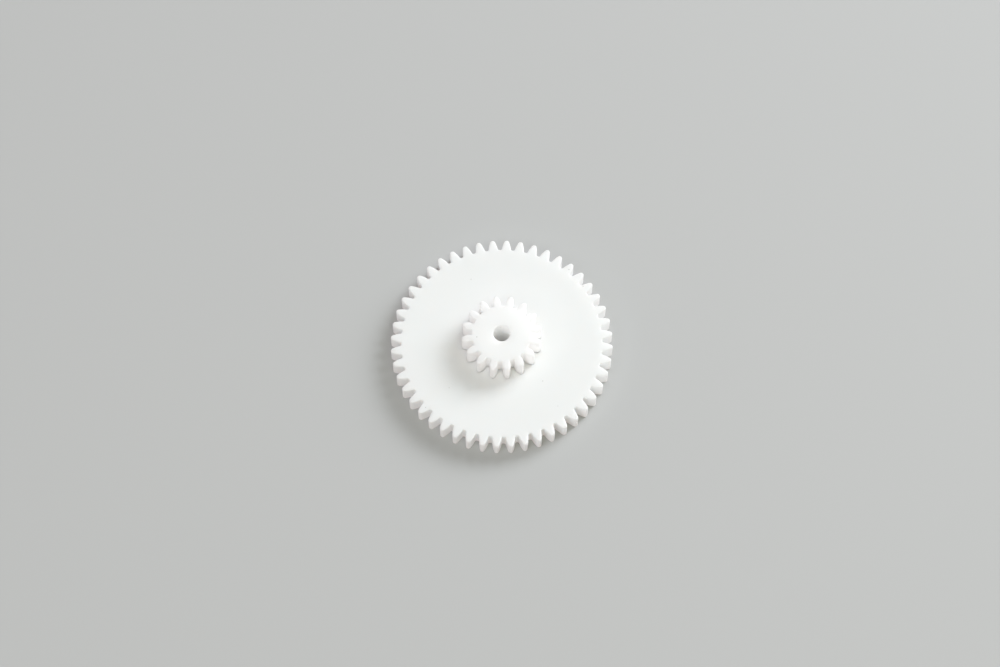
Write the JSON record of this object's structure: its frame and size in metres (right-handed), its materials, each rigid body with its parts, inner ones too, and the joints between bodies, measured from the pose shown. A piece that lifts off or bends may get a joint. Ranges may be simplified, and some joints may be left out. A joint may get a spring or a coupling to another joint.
{
  "type": "spur gear",
  "caption": "Compound spur gear in white moulded plastic: a flat toothed wheel with a small toothed pinion raised on its face and a through shaft bore.",
  "frame": {"origin": "centre of the shaft bore in the plane of the wheel's flat back face", "axes": "+Z along the shaft bore, from the wheel's back face towards the pinion; +X through the middle of one wheel tooth"},
  "size_m": [0.025, 0.025, 0.005],
  "materials": {
    "wheel_acetal": "satin, slightly translucent",
    "pinion_acetal": "satin, slightly translucent"
  },
  "bodies": {
    "root": {"gear_wheel": "wheel_acetal", "pinion": "pinion_acetal"}
  },
  "joints": []
}
